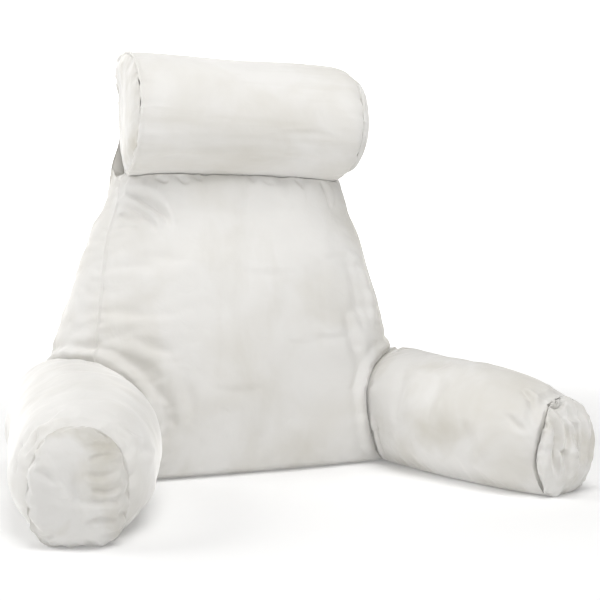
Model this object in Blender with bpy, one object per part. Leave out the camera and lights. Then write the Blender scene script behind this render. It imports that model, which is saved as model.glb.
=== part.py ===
"""Reading pillow with arms: a wedge-shaped back cushion, two arm cushions sewn to its lower sides, and a round
neck roll that lies on the top edge, held by a cloth band from the rear top seam.

Metres, +Z up. The pillow faces -Y, its width runs along X, and the origin is on the surface it stands on, at the
centre of its bounding box. SHIFT_Y moves the whole design along Y to put it there.
"""

import math

import bmesh
import bpy

# Clearances
SEAM_GAP = 0.0006  # between pieces that are sewn together or lie on each other

# Back cushion: a box of panels, wider and thicker towards its foot
BACK_FRONT_HEIGHT = 0.401  # top seam of the front panel
BACK_REAR_HEIGHT = 0.405  # top seam of the rear panel
BACK_COLUMNS = ("height", "front_half_width", "rear_half_width", "front_y", "rear_y")
BACK_SECTIONS = (
    (0.00, 0.230, 0.256, -0.100, 0.130),
    (0.10, 0.224, 0.252, -0.076, 0.112),
    (0.20, 0.210, 0.230, -0.051, 0.090),
    (0.30, 0.192, 0.200, -0.026, 0.070),
    (0.41, 0.168, 0.164, 0.001, 0.052),
)
FRONT_CROWN = 0.046
REAR_CROWN = 0.026
SIDE_CROWN = 0.008
TOP_CROWN = 0.014
FOOT_RADIUS = 0.030  # the rounding where the panels turn under onto the base
FOOT_CROWN_SHARE = 0.4  # how much of the crown is left at the base

# Arm cushions: a tube on a curved axis that splays outwards, with an end panel
ARM_ROOT_Y = 0.105
ARM_END_Y = -0.362
ARM_ROOT_X = 0.236
ARM_SPLAY = 0.061  # how far the axis has moved outwards at the end seam
ARM_BEND_START_Y = 0.020
ARM_COLUMNS = ("y", "half_width", "height")
ARM_SECTIONS = (
    (0.105, 0.030, 0.088),
    (0.098, 0.046, 0.116),
    (0.080, 0.060, 0.136),
    (0.040, 0.074, 0.151),
    (-0.020, 0.081, 0.157),
    (-0.080, 0.084, 0.158),
    (-0.140, 0.084, 0.157),
    (-0.200, 0.083, 0.153),
    (-0.250, 0.080, 0.148),
    (-0.295, 0.074, 0.141),
    (-0.330, 0.065, 0.133),
    (-0.352, 0.055, 0.126),
    (-0.362, 0.050, 0.122),
)
ARM_SQUARENESS = 2.25  # power of the section's superellipse
ARM_SAG = 0.012  # how much of the round section is pressed flat on the floor
ARM_END_BULGE = 0.024
ARM_SEGMENTS = 28

# Neck roll
ROLL_RADIUS = 0.0825
ROLL_HALF_LENGTH = 0.160
ROLL_Y = -0.016
ROLL_Z = 0.4835
ROLL_END_BULGE = 0.020
ROLL_SEGMENTS = 36
ROLL_CROWN = 0.0015

# Band that holds the roll
BAND_THICKNESS = 0.003
BAND_FOOT_HALF_WIDTH = 0.164
BAND_HALF_WIDTH = 0.142
BAND_TOP_ANGLE = math.radians(62)  # where it ends on the roll, above the horizontal
BAND_CLEARANCE = 0.002

DOME_RINGS = 5
SHIFT_Y = 0.1273

IVORY = (0.80, 0.79, 0.76, 1.0)
IVORY_END = (0.78, 0.77, 0.74, 1.0)
BAND_CLOTH = (0.76, 0.75, 0.72, 1.0)


def clear_scene():
    for obj in list(bpy.data.objects):
        bpy.data.objects.remove(obj)


def cloth(name, colour, roughness):
    material = bpy.data.materials.new(name)
    material.use_nodes = True
    shader = material.node_tree.nodes["Principled BSDF"]
    shader.inputs["Base Color"].default_value = colour
    shader.inputs["Roughness"].default_value = roughness
    shader.inputs["Metallic"].default_value = 0.0
    return material


def lerp(a, b, t):
    return a + (b - a) * t


def read_table(rows, columns, key, at):
    """The other columns of a table at a value of its key column, along a smooth curve through the rows."""
    place = columns.index(key)
    keys = [row[place] for row in rows]
    rising = keys[-1] > keys[0]
    at = min(max(at, min(keys)), max(keys))
    last = len(rows) - 2
    i = 0
    while i < last and (at > keys[i + 1] if rising else at < keys[i + 1]):
        i += 1
    t = (at - keys[i]) / (keys[i + 1] - keys[i])
    found = {}
    for column, name in enumerate(columns):
        a = rows[max(i - 1, 0)]
        b, c = rows[i], rows[i + 1]
        d = rows[min(i + 2, len(rows) - 1)]
        span = c[place] - b[place]
        slope_b = (c[column] - a[column]) / (c[place] - a[place]) * span
        slope_c = (d[column] - b[column]) / (d[place] - b[place]) * span
        found[name] = (
            (2 * t**3 - 3 * t**2 + 1) * b[column]
            + (t**3 - 2 * t**2 + t) * slope_b
            + (3 * t**2 - 2 * t**3) * c[column]
            + (t**3 - t**2) * slope_c
        )
    return found


def bump(t, power):
    """1 in the middle of 0..1 and 0 at both ends, flatter in the middle for a higher power."""
    return 1 - abs(2 * t - 1) ** power


def under_roll(y):
    """Height of the roll's underside at y, less the clearance, or None beside it."""
    reach = ROLL_RADIUS**2 - (y - ROLL_Y) ** 2
    return ROLL_Z - math.sqrt(reach) - ROLL_CROWN - SEAM_GAP if reach > 0 else None


def back_point(u, t, v):
    """A point of the back cushion: u from -1 to 1 across, t from 0 at the front to 1 at the rear, v from 0 to 1 up."""
    height = v * lerp(BACK_FRONT_HEIGHT, BACK_REAR_HEIGHT, t)
    size = read_table(BACK_SECTIONS, BACK_COLUMNS, "height", height)
    half_width = lerp(size["front_half_width"], size["rear_half_width"], t)
    y = lerp(size["front_y"], size["rear_y"], t)
    upright = bump(0.5 + 0.5 * abs(2 * v - 1) ** 1.15 * math.copysign(1, v - 0.5), 2.6)
    across = 1 - abs(u) ** 2.4
    belly = max(upright, FOOT_CROWN_SHARE * (1 - v) ** 3)
    y -= FRONT_CROWN * across * belly * (1 - t) ** 2
    y += REAR_CROWN * across * upright * t**2
    x = u * half_width + math.copysign(SIDE_CROWN, u) * abs(u) ** 8 * bump(t, 2) * upright
    z = height + TOP_CROWN * (1 - u**4) * bump(t, 2) * v**8
    if z < FOOT_RADIUS:
        turned_in = FOOT_RADIUS * (1 - math.sqrt(1 - (1 - z / FOOT_RADIUS) ** 2))
        middle = lerp(size["front_y"], size["rear_y"], 0.5)
        y += math.copysign(turned_in, middle - y) * min(1, abs(y - middle) / 0.08)
        x -= math.copysign(turned_in, x) * abs(u) ** 3
    if v == 1:
        z = min(z, under_roll(y))
    return (x, y, z)


def new_object(name, mesh, material):
    obj = bpy.data.objects.new(name, mesh)
    obj.data.materials.append(material)
    obj.location.y = SHIFT_Y
    bpy.context.scene.collection.objects.link(obj)
    return obj


def finish_mesh(name, bm):
    bmesh.ops.recalc_face_normals(bm, faces=bm.faces)
    mesh = bpy.data.meshes.new(name)
    bm.to_mesh(mesh)
    bm.free()
    mesh.shade_smooth()
    mesh.set_sharp_from_angle(angle=math.radians(40))
    return mesh


def box_mesh(name, across, deep, high, point):
    """A closed mesh from the surface grid of a box, each grid point placed by point(u, t, v)."""
    bm = bmesh.new()
    verts = {}

    def vert(i, j, k):
        if (i, j, k) not in verts:
            verts[i, j, k] = bm.verts.new(point(2 * i / across - 1, j / deep, k / high))
        return verts[i, j, k]

    for i in range(across):
        for k in range(high):
            for j in (0, deep):
                bm.faces.new([vert(i, j, k), vert(i + 1, j, k), vert(i + 1, j, k + 1), vert(i, j, k + 1)])
        for j in range(deep):
            for k in (0, high):
                bm.faces.new([vert(i, j, k), vert(i + 1, j, k), vert(i + 1, j + 1, k), vert(i, j + 1, k)])
    for j in range(deep):
        for k in range(high):
            for i in (0, across):
                bm.faces.new([vert(i, j, k), vert(i, j + 1, k), vert(i, j + 1, k + 1), vert(i, j, k + 1)])
    return finish_mesh(name, bm)


def ring_mesh(name, rings):
    """A closed mesh through rings of equally many points, with a flat cap on the first and the last."""
    bm = bmesh.new()
    loops = [[bm.verts.new(p) for p in ring] for ring in rings]
    count = len(loops[0])
    for low, high in zip(loops, loops[1:]):
        for i in range(count):
            j = (i + 1) % count
            bm.faces.new([low[i], low[j], high[j], high[i]])
    bm.faces.new(loops[0])
    bm.faces.new(loops[-1])
    return finish_mesh(name, bm)


def arm_axis(y):
    """Place and direction of the right arm's axis at y."""
    length = ARM_BEND_START_Y - ARM_END_Y
    along = max(0.0, (ARM_BEND_START_Y - y) / length)
    slope = 2 * ARM_SPLAY * along / length
    size = math.hypot(slope, 1)
    return ARM_ROOT_X + ARM_SPLAY * along**2, y, (slope / size, -1 / size)


def arm_ring(y, forward=0.0, shrink=1.0, grow=0.0, mirror=1):
    """One section of an arm: forward moves it along the axis, shrink scales it towards its middle, grow offsets it."""
    size = read_table(ARM_SECTIONS, ARM_COLUMNS, "y", y)
    x0, y0, (dx, dy) = arm_axis(y)
    half_height = (size["height"] + ARM_SAG) / 2
    middle = size["height"] / 2 - ARM_SAG / 2
    points = []
    for i in range(ARM_SEGMENTS):
        a = 2 * math.pi * i / ARM_SEGMENTS
        c, s = math.cos(a), math.sin(a)
        side = math.copysign(abs(c) ** (2 / ARM_SQUARENESS), c) * (size["half_width"] + grow) * shrink
        rise = math.copysign(abs(s) ** (2 / ARM_SQUARENESS), s) * (half_height + grow) * shrink
        z = max(middle + rise, -grow)
        points.append((mirror * (x0 + dx * forward - dy * side), y0 + dy * forward + dx * side, z))
    return points


def arm_mesh(name, mirror, grow=0.0):
    """The arm's tube from its rear end to the seam of its end panel."""
    ys = [row[0] for row in ARM_SECTIONS]
    return ring_mesh(name, [arm_ring(y, grow=grow, mirror=mirror) for y in ys])


def dome(first, ring_at, bulge, rings):
    """Rings of a quarter-round dome: ring_at(shrink, out) gives one ring."""
    steps = [first]
    for i in range(1, rings + 1):
        a = math.radians(82) * i / rings
        steps.append(ring_at(math.cos(a) ** 0.8, bulge * math.sin(a)))
    return steps


def arm_end_mesh(name, mirror):
    """The end panel, a domed cap in front of the tube."""

    def ring_at(shrink, out):
        return arm_ring(ARM_END_Y, forward=SEAM_GAP + out, shrink=shrink, mirror=mirror)

    return ring_mesh(name, dome(ring_at(1, 0), ring_at, ARM_END_BULGE, DOME_RINGS))


def roll_ring(x, radius):
    points = []
    for i in range(ROLL_SEGMENTS):
        a = 2 * math.pi * i / ROLL_SEGMENTS
        points.append((x, ROLL_Y + radius * math.cos(a), ROLL_Z + radius * math.sin(a)))
    return points


def roll_mesh(name):
    stations = 8
    rings = []
    for i in range(stations + 1):
        share = 2 * i / stations - 1
        radius = ROLL_RADIUS + ROLL_CROWN * (1 - share**2)
        rings.append(roll_ring(ROLL_HALF_LENGTH * share, radius))
    return ring_mesh(name, rings)


def roll_end_mesh(name, side):
    def ring_at(shrink, out):
        return roll_ring(side * (ROLL_HALF_LENGTH + SEAM_GAP + out), ROLL_RADIUS * shrink)

    return ring_mesh(name, dome(ring_at(1, 0), ring_at, ROLL_END_BULGE, DOME_RINGS))


def band_path():
    """Points (y, z) of the band's inner face: from the rear top seam, straight to the roll, then round its rear."""
    radius = ROLL_RADIUS + ROLL_CROWN + BAND_CLEARANCE
    top = read_table(BACK_SECTIONS, BACK_COLUMNS, "height", BACK_REAR_HEIGHT)
    foot_y = top["rear_y"] - BAND_THICKNESS
    foot_z = BACK_REAR_HEIGHT + BAND_THICKNESS + SEAM_GAP
    away = math.hypot(foot_y - ROLL_Y, foot_z - ROLL_Z)
    start = math.atan2(foot_z - ROLL_Z, foot_y - ROLL_Y) + math.acos(radius / away)
    path = [(foot_y, foot_z)]
    turns = 9
    for i in range(turns + 1):
        a = lerp(start, BAND_TOP_ANGLE, i / turns)
        path.append((ROLL_Y + radius * math.cos(a), ROLL_Z + radius * math.sin(a)))
    return path


def band_mesh(name):
    """A sheet along band_path, as wide as the back cushion's top at its foot and narrower round the roll."""
    path = band_path()
    across = 10
    inner, outer = [], []
    for i, (y, z) in enumerate(path):
        before, after = path[max(i - 1, 0)], path[min(i + 1, len(path) - 1)]
        dy, dz = after[0] - before[0], after[1] - before[1]
        size = math.hypot(dy, dz)
        out = (dz / size * BAND_THICKNESS, -dy / size * BAND_THICKNESS)
        half = BAND_FOOT_HALF_WIDTH if i == 0 else BAND_HALF_WIDTH
        xs = [half * (2 * k / across - 1) for k in range(across + 1)]
        inner.append([(x, y, z) for x in xs])
        outer.append([(x, y + out[0], z + out[1]) for x in xs])
    rings = [low + high[::-1] for low, high in zip(inner, outer)]
    return ring_mesh(name, rings)


def cut_for_arms(back, material):
    """Takes the arms' places, with their seam gap, out of the back cushion."""
    for side, mirror in (("left", -1), ("right", 1)):
        cutter = new_object(f"cutter_{side}", arm_mesh(f"cutter_{side}", mirror, grow=SEAM_GAP), material)
        cutter.hide_render = True
        cutter.display_type = "WIRE"
        cut = back.modifiers.new(f"arm_{side}", "BOOLEAN")
        cut.operation = "DIFFERENCE"
        cut.solver = "EXACT"
        cut.object = cutter


def main():
    clear_scene()
    velvet = cloth("velvet", IVORY, 0.9)
    velvet_end = cloth("velvet_end_panel", IVORY_END, 0.9)
    band_cloth = cloth("band_cloth", BAND_CLOTH, 0.85)
    back = new_object("back_cushion", box_mesh("back_cushion", 18, 6, 16, back_point), velvet)
    cut_for_arms(back, velvet)
    for side, mirror in (("left", -1), ("right", 1)):
        new_object(f"arm_{side}", arm_mesh(f"arm_{side}", mirror), velvet)
        new_object(f"arm_end_{side}", arm_end_mesh(f"arm_end_{side}", mirror), velvet_end)
        new_object(f"roll_end_{side}", roll_end_mesh(f"roll_end_{side}", mirror), velvet_end)
    new_object("neck_roll", roll_mesh("neck_roll"), velvet)
    new_object("roll_band", band_mesh("roll_band"), band_cloth)


main()
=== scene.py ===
"""Looks of the reading pillow with arms: filled covers with seams, puckers and folds, in ivory velour.

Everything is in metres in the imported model's frame: the pillow faces -Y, +Z is up.
"""

import math

import bpy
import numpy as np
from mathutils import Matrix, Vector, noise
from mathutils.bvhtree import BVHTree


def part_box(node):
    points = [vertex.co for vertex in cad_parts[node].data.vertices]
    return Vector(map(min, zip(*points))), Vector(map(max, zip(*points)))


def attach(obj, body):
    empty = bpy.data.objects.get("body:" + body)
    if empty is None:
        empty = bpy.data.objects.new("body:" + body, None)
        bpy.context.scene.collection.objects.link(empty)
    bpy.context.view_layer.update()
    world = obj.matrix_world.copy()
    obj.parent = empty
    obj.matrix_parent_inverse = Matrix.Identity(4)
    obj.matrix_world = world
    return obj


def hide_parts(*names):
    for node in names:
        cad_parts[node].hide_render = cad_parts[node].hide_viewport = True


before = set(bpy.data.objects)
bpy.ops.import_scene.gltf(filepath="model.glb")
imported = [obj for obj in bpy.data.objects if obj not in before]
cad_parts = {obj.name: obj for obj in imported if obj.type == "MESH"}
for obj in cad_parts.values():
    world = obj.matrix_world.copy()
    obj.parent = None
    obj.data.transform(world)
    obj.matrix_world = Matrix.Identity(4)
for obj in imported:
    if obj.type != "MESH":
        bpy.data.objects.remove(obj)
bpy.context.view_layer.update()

# ---- sizes, as the CAD has them

roll_low, roll_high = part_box("neck_roll")
ROLL_Y = (roll_low.y + roll_high.y) / 2
ROLL_Z = (roll_low.z + roll_high.z) / 2
ROLL_RADIUS = 0.0825
ROLL_HALF_LENGTH = roll_high.x
SHIFT_Y = ROLL_Y + 0.016

BACK_FRONT_HEIGHT, BACK_REAR_HEIGHT = 0.401, 0.405
BACK_COLUMNS = ("height", "front_half_width", "rear_half_width", "front_y", "rear_y")
BACK_SECTIONS = (
    (0.00, 0.230, 0.256, -0.100, 0.130),
    (0.10, 0.224, 0.252, -0.076, 0.112),
    (0.20, 0.210, 0.230, -0.051, 0.090),
    (0.30, 0.192, 0.200, -0.026, 0.070),
    (0.41, 0.168, 0.164, 0.001, 0.052),
)
FRONT_CROWN, REAR_CROWN, SIDE_CROWN, TOP_CROWN = 0.046, 0.026, 0.008, 0.014
FOOT_RADIUS, FOOT_CROWN_SHARE = 0.030, 0.4

ARM_COLUMNS = ("y", "half_width", "height")
ARM_SECTIONS = (
    (-0.362, 0.050, 0.122),
    (-0.352, 0.055, 0.126),
    (-0.330, 0.065, 0.133),
    (-0.295, 0.074, 0.141),
    (-0.250, 0.080, 0.148),
    (-0.200, 0.083, 0.153),
    (-0.140, 0.084, 0.157),
    (-0.080, 0.084, 0.158),
    (-0.020, 0.081, 0.157),
    (0.040, 0.074, 0.151),
    (0.080, 0.060, 0.136),
    (0.098, 0.046, 0.116),
    (0.105, 0.030, 0.088),
)
ARM_ROOT_X, ARM_SPLAY, ARM_BEND_START_Y, ARM_END_Y, ARM_ROOT_Y = 0.236, 0.061, 0.020, -0.362, 0.105
ARM_SQUARENESS, ARM_SAG = 2.25, 0.012
GAP, SEWN_GAP = 0.0006, 0.0001  # between pieces that lie together, and between ones sewn together


def table_at(rows, columns, at):
    """The table's other columns at values of its first column, on a smooth curve through the rows."""
    data = np.array(rows)
    keys = data[:, 0]
    at = np.clip(at, keys[0], keys[-1])
    i = np.clip(np.searchsorted(keys, at, side="right") - 1, 0, len(keys) - 2)
    before, after = np.maximum(i - 1, 0), np.minimum(i + 2, len(keys) - 1)
    span = keys[i + 1] - keys[i]
    t = (at - keys[i]) / span
    found = {}
    for column, name in enumerate(columns[1:], 1):
        y = data[:, column]
        slope_b = (y[i + 1] - y[before]) / (keys[i + 1] - keys[before]) * span
        slope_c = (y[after] - y[i]) / (keys[after] - keys[i]) * span
        found[name] = (
            (2 * t**3 - 3 * t**2 + 1) * y[i]
            + (t**3 - 2 * t**2 + t) * slope_b
            + (3 * t**2 - 2 * t**3) * y[i + 1]
            + (t**3 - t**2) * slope_c
        )
    return found


def lerp(a, b, t):
    return a + (b - a) * t


def smoothstep(low, high, x):
    t = np.clip((x - low) / (high - low), 0, 1)
    return t * t * (3 - 2 * t)


def noise_at(points, wavelength, seed=0):
    """Smooth noise of about -1 to 1 at each point; wavelength is one number or one for each axis."""
    scaled = points / np.broadcast_to(wavelength, 3) + seed * 17.31
    return np.fromiter((noise.noise(Vector(p)) for p in scaled), float, len(points)) * 1.6


def noise_along(run, wavelength, seed):
    return noise_at(np.stack([run, 0 * run, 0 * run], 1), wavelength, seed)


# ---- meshes


def add_object(name, data):
    obj = bpy.data.objects.new(name, data)
    bpy.context.scene.collection.objects.link(obj)
    return obj


def make_mesh(name, points, faces, cut):
    """An object from points and faces; cut holds each point's place on its panels, kept by subdividing."""
    mesh = bpy.data.meshes.new(name)
    mesh.from_pydata([tuple(p) for p in points], [], faces)
    places = mesh.attributes.new("cut", "FLOAT_VECTOR", "POINT")
    places.data.foreach_set("vector", cut.astype(np.float32).ravel())
    return add_object(name, mesh)


def closer_at_ends(share, strength=0.55):
    """Moves even shares of 0..1 closer together at both ends, where the seams are."""
    return share - strength * np.sin(2 * math.pi * share) / (2 * math.pi)


def box_grid(name, across, deep, high, shape):
    """A closed box of panels. shape(u, t, v) places points: u -1..1 across, t 0..1 to the rear, v 0..1 up."""
    index, places, faces = {}, [], []
    us = 2 * closer_at_ends(np.arange(across + 1) / across) - 1
    ts = closer_at_ends(np.arange(deep + 1) / deep, 0.3)
    vs = closer_at_ends(np.arange(high + 1) / high, 0.4)

    def vert(i, j, k):
        if (i, j, k) not in index:
            index[i, j, k] = len(places)
            places.append((us[i], ts[j], vs[k]))
        return index[i, j, k]

    def quad(a, b, c, d, turned):
        faces.append((d, c, b, a) if turned else (a, b, c, d))

    for i in range(across):
        for k in range(high):
            for j in (0, deep):
                quad(vert(i, j, k), vert(i + 1, j, k), vert(i + 1, j, k + 1), vert(i, j, k + 1), j == deep)
        for j in range(deep):
            for k in (0, high):
                quad(vert(i, j, k), vert(i + 1, j, k), vert(i + 1, j + 1, k), vert(i, j + 1, k), k == 0)
    for j in range(deep):
        for k in range(high):
            for i in (0, across):
                quad(vert(i, j, k), vert(i, j + 1, k), vert(i, j + 1, k + 1), vert(i, j, k + 1), i == 0)
    cut = np.array(places)
    return make_mesh(name, shape(*cut.T), faces, cut)


def tube_grid(name, lengths, segments, shape):
    """A closed tube, each end one point. shape(a, s) places points: a the angle round it, s how far along."""
    angles = 2 * math.pi * np.arange(segments) / segments
    inner = lengths[1:-1]
    a = np.concatenate([[0.0], np.tile(angles, len(inner)), [0.0]])
    s = np.concatenate([[lengths[0]], np.repeat(inner, segments), [lengths[-1]]])
    faces = []
    for i in range(segments):
        j = (i + 1) % segments
        faces.append((0, 1 + j, 1 + i))
        for ring in range(len(inner) - 1):
            low, high = 1 + ring * segments, 1 + (ring + 1) * segments
            faces.append((low + i, low + j, high + j, high + i))
        last = 1 + (len(inner) - 1) * segments
        faces.append((last + i, last + j, len(a) - 1))
    cut = np.stack([np.cos(a), np.sin(a), s], 1)
    return make_mesh(name, shape(a, s), faces, cut)


def read_vectors(items, name):
    found = np.empty(len(items) * 3, np.float32)
    items.foreach_get(name, found)
    return found.reshape(-1, 3).astype(float)


def points_of(obj):
    return read_vectors(obj.data.vertices, "co")


def normals_of(obj):
    return read_vectors(obj.data.vertex_normals, "vector")


def cut_of(obj):
    return read_vectors(obj.data.attributes["cut"].data, "vector")


def move_to(obj, points):
    obj.data.vertices.foreach_set("co", points.astype(np.float32).ravel())
    obj.data.update()


def subdivide(obj):
    modifier = obj.modifiers.new("subdivide", "SUBSURF")
    modifier.levels = modifier.render_levels = 1
    modifier.boundary_smooth = "PRESERVE_CORNERS"
    graph = bpy.context.evaluated_depsgraph_get()
    evaluated = obj.evaluated_get(graph)
    mesh = bpy.data.meshes.new_from_object(evaluated, preserve_all_data_layers=True, depsgraph=graph)
    obj.modifiers.clear()
    obj.data = mesh


def outwards(obj):
    """Turns the mesh the right way out if its volume is negative."""
    co = points_of(obj)
    volume = 0.0
    for polygon in list(obj.data.polygons)[:: max(1, len(obj.data.polygons) // 4000)]:
        volume += polygon.normal.dot(polygon.center - Vector(co.mean(0))) * polygon.area
    if volume < 0:
        obj.data.flip_normals()


# ---- cloth


def add_weights(obj, name, weights):
    group = obj.vertex_groups.new(name=name)
    for step in range(1, 11):
        members = np.nonzero(np.round(weights * 10) == step)[0]
        if len(members):
            group.add([int(i) for i in members], step / 10, "REPLACE")


def inflate(obj, held, slack, pressure, cap, loose=None, frames=20, stiffness=12.0, bending=0.15):
    """Lets the cover swell as cloth over its filling. held is each point's hold from 0 to 1, slack how much
    larger the cloth was cut than its seams, loose each point's share of that, and cap its furthest move."""
    start = points_of(obj)
    add_weights(obj, "held", held)
    modifier = obj.modifiers.new("cover", "CLOTH")
    cloth = modifier.settings
    cloth.vertex_group_mass = "held"
    cloth.quality = 5
    cloth.mass = 0.3
    cloth.air_damping = 4.0
    cloth.tension_stiffness = cloth.compression_stiffness = stiffness
    cloth.shear_stiffness = stiffness / 3
    cloth.bending_stiffness = bending
    cloth.tension_damping = cloth.compression_damping = cloth.shear_damping = 8.0
    cloth.shrink_min = -slack
    if loose is not None:
        add_weights(obj, "tight", 1 - loose)
        cloth.vertex_group_shrink = "tight"
    cloth.use_pressure = True
    cloth.uniform_pressure_force = pressure
    cloth.effector_weights.gravity = 0.0
    modifier.collision_settings.use_collision = False
    modifier.collision_settings.use_self_collision = False
    modifier.point_cache.frame_start, modifier.point_cache.frame_end = 1, frames
    for number in range(1, frames + 1):
        bpy.context.scene.frame_set(number)
    graph = bpy.context.evaluated_depsgraph_get()
    swollen = points_of(obj.evaluated_get(graph))
    obj.modifiers.clear()
    obj.vertex_groups.clear()
    moved = swollen - start
    far = np.linalg.norm(moved, axis=1, keepdims=True)
    moved *= cap * np.tanh(far / cap) / np.maximum(far, 1e-9)
    move_to(obj, start + moved)
    bpy.context.scene.frame_set(1)


# ---- folds, seams and contact


def smooth_path(knots, count):
    """count points on a smooth curve through the knots."""
    knots = np.array(knots, float)
    padded = np.vstack([2 * knots[0] - knots[1], knots, 2 * knots[-1] - knots[-2]])
    at = np.linspace(0, len(knots) - 1 - 1e-9, count)
    i = at.astype(int)
    t = (at - i)[:, None]
    a, b, c, d = (padded[i + k] for k in range(4))
    return 0.5 * (2 * b + (c - a) * t + (2 * a - 5 * b + 4 * c - d) * t**2 + (3 * b - a - 3 * c + d) * t**3)


def fold(points, normals, knots, width, depth, ridge=0.6, reach=0.03):
    """How far each point moves along its normal for one fold: a soft trough along the knots, with a ridge on
    its left, that fades out at both ends. reach is how far off the surface the knots may be."""
    path = smooth_path(knots, 6 * len(knots))
    moved = np.zeros(len(points))
    margin = 4 * width + reach
    near = np.all((points > path.min(0) - margin) & (points < path.max(0) + margin), axis=1)
    p, n = points[near], normals[near]
    if not len(p):
        return moved
    best = np.full(len(p), 1e9)
    side = np.zeros(len(p))
    along = np.zeros(len(p))
    off = np.zeros(len(p))
    last = len(path) - 2
    for k in range(last + 1):
        step = path[k + 1] - path[k]
        length = np.linalg.norm(step)
        rel = p - path[k]
        rise = (rel * n).sum(1)
        flat = rel - rise[:, None] * n
        raw = flat @ step / length**2
        t = np.clip(raw, 0, 1)
        gap = flat - t[:, None] * step
        distance = np.linalg.norm(gap, axis=1)
        across = np.cross(n, step / length)
        better = distance < best
        best = np.where(better, distance, best)
        side = np.where(better, (flat * across).sum(1), side)
        along = np.where(better, (k + t) / (last + 1), along)
        off = np.where(better, np.abs(rise), off)
    beyond = np.sqrt(np.maximum(best**2 - side**2, 0))
    taper = np.sin(math.pi * np.clip(along, 0, 1)) ** 0.7 * np.exp(-((beyond / width) ** 2)) * (off < reach)
    wide = width * (0.6 + 0.4 * np.sin(math.pi * along))
    trough = -np.exp(-((side / wide) ** 2))
    lift = ridge * np.exp(-(((side - 1.7 * wide) / (1.25 * wide)) ** 2))
    moved[near] = depth * taper * (trough + lift)
    return moved


def tree_of(obj):
    mesh = obj.data
    return BVHTree.FromPolygons([v.co for v in mesh.vertices], [tuple(p.vertices) for p in mesh.polygons])


def depth_in(tree, points, reach=0.05):
    """How deep each point is in the tree's closed mesh (negative outside), and its nearest surface point."""
    depth = np.full(len(points), -reach)
    nearest = points.copy()
    for i, p in enumerate(points):
        hit, normal, _, distance = tree.find_nearest(Vector(p), reach)
        if hit is not None:
            depth[i] = distance if (Vector(p) - hit).dot(normal) < 0 else -distance
            nearest[i] = hit
    return depth, nearest


# ---- the arms

ARM_CAP = 0.06  # the share of an arm's length parameter at each end that closes the tube
END_SEAM_S = 1 - ARM_CAP
ARM_RADIUS = 0.06  # roughly, where its end is gathered
CAP_DISH = 0.014  # how far a tube's closed end, hidden behind its end panel, is sunk in its middle


def arm_axis(y):
    length = ARM_BEND_START_Y - ARM_END_Y
    along = np.maximum(0.0, (ARM_BEND_START_Y - y) / length)
    slope = 2 * ARM_SPLAY * along / length
    size = np.hypot(slope, 1)
    return ARM_ROOT_X + ARM_SPLAY * along**2, slope / size, -1 / size


def rest_on_floor(z, softness=0.012, sink=0.003):
    """Heights with what would lie under the floor pressed flat on it, with a rounded turn."""
    return np.maximum(0.5 * (z + np.sqrt(z * z + softness**2)) - sink, 0.0)


def arm_points(a, y, side, forward=0.0, shrink=1.0):
    """Points of an arm's section at y: shrink draws them to its middle, forward moves them along the arm."""
    size = table_at(ARM_SECTIONS, ARM_COLUMNS, y)
    x0, dx, dy = arm_axis(y)
    half_height = (size["height"] + ARM_SAG) / 2
    middle = (size["height"] - ARM_SAG) / 2
    c, s = np.cos(a), np.sin(a)
    reach = np.sign(c) * np.abs(c) ** (2 / ARM_SQUARENESS) * size["half_width"] * shrink
    rise = np.sign(s) * np.abs(s) ** (2 / ARM_SQUARENESS) * half_height
    z = middle + (rest_on_floor(middle + rise) - middle) * shrink
    return np.stack([side * (x0 + dx * forward - dy * reach), y + dy * forward + dx * reach + SHIFT_Y, z], 1)


def make_arm(name, side):
    cap = np.linspace(0, ARM_CAP, 6)
    tube = ARM_CAP + (1 - 2 * ARM_CAP) * np.arange(1, 92) / 92
    lengths = np.concatenate([cap, tube, 1 - cap[::-1]])

    def shape(a, s):
        along = np.clip((s - ARM_CAP) / (1 - 2 * ARM_CAP), 0, 1)
        shrink = np.minimum(np.clip(s / ARM_CAP, 0, 1), np.clip((1 - s) / ARM_CAP, 0, 1)) ** 0.9
        dished = -CAP_DISH * (1 - shrink**4) * (s > 0.5)
        return arm_points(a, lerp(ARM_ROOT_Y, ARM_END_Y, along), side, forward=dished, shrink=shrink)

    obj = tube_grid(name, lengths, 112, shape)
    outwards(obj)
    s, z = cut_of(obj)[:, 2], points_of(obj)[:, 2]
    held = np.maximum((s < ARM_CAP + 0.02) | (s > END_SEAM_S - 0.004), z < 0.003).astype(float)
    loose = 0.45 + 0.55 * smoothstep(0.75, 0.93, s)
    inflate(obj, held, slack=0.03, pressure=4, cap=0.009, loose=loose)
    subdivide(obj)
    return obj


def seam_profile(distance, draw=0.004, draw_width=0.012, lip=0.0028, lip_width=0.0026):
    """How far cloth stands out at a distance from its seam: drawn in near it, with a lip at the stitches."""
    return -draw * np.exp(-distance / draw_width) + lip * np.exp(-((distance / lip_width) ** 2))


def puckers(places, distance, wavelength, depth, reach, seed):
    """Short gathers across a seam: places run along it in metres, distance away from it."""
    waves = noise_at(np.stack([places, distance * 0.25, 0 * places], 1), wavelength, seed)
    fine = noise_at(np.stack([places, distance * 0.4, 0 * places], 1), wavelength * 0.45, seed + 5)
    return depth * (np.abs(waves) * 1.3 - 0.45 + 0.4 * fine) * np.exp(-((distance / reach) ** 1.5))


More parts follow.
